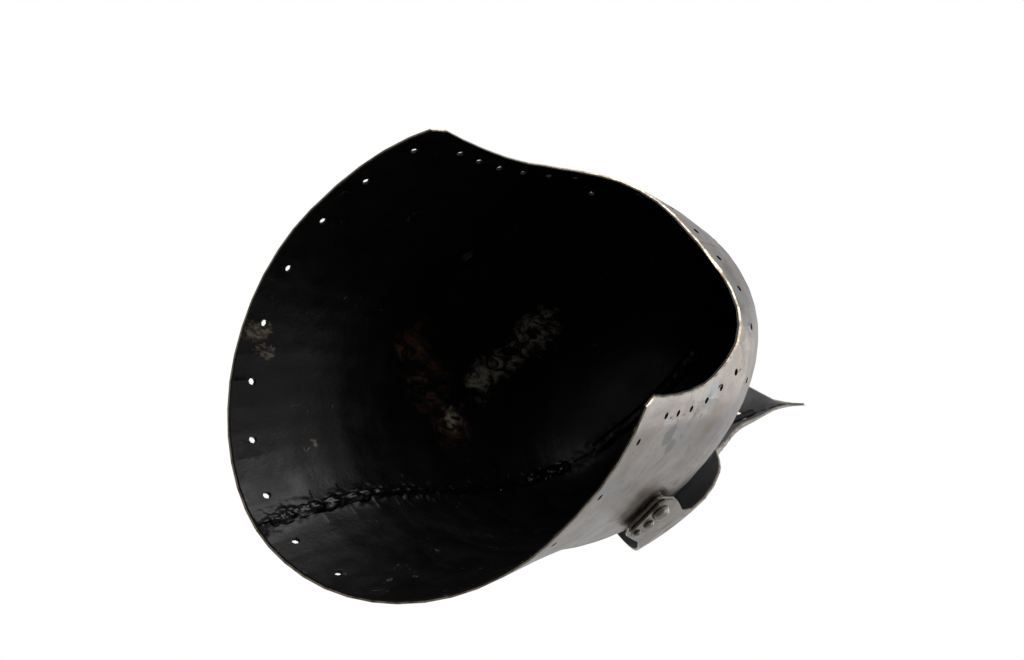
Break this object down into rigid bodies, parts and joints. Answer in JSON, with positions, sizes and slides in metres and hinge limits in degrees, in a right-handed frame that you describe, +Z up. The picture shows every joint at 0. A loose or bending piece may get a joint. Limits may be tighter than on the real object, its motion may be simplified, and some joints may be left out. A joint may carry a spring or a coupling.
{
  "type": "knight helmet",
  "caption": "Steel knight helmet of the bascinet kind, open at the face and neck, with a beaked visor that turns up and down on studs at the temples.",
  "frame": {"origin": "centre of the bounding box seen from above, on the plane of the neck rim, with the visor raised", "axes": "+Z up to the crown, -Y the way the wearer faces, +X the wearer's left"},
  "size_m": [0.236, 0.264, 0.4225],
  "materials": {
    "steel": "satin, worn, warm grey outside and black paint inside",
    "dark_steel": "darkened, semi-gloss",
    "black_weld": "lumpy weld metal under black paint"
  },
  "bodies": {
    "skull": {"skull_left_half": "steel", "skull_right_half": "steel", "skull_back_weld": "black_weld", "skull_front_weld": "black_weld", "left_pivot_stud": "dark_steel", "right_pivot_stud": "dark_steel", "left_pivot_collar": "dark_steel", "right_pivot_collar": "dark_steel", "left_pivot_burr": "dark_steel", "right_pivot_burr": "dark_steel"},
    "visor": {"visor_left_half": "steel", "visor_right_half": "steel", "visor_ridge_weld": "black_weld", "left_ear_plate": "steel", "right_ear_plate": "steel", "left_ear_rivet_1": "dark_steel", "left_ear_rivet_2": "dark_steel", "right_ear_rivet_1": "dark_steel", "right_ear_rivet_2": "dark_steel"}
  },
  "joints": [
    {"name": "visor_hinge", "type": "hinge", "parent": "skull", "child": "visor", "pos_m": [0, -0.02, 0.112], "axis": [1, 0, 0], "range_deg": [-5, 91]}
  ]
}
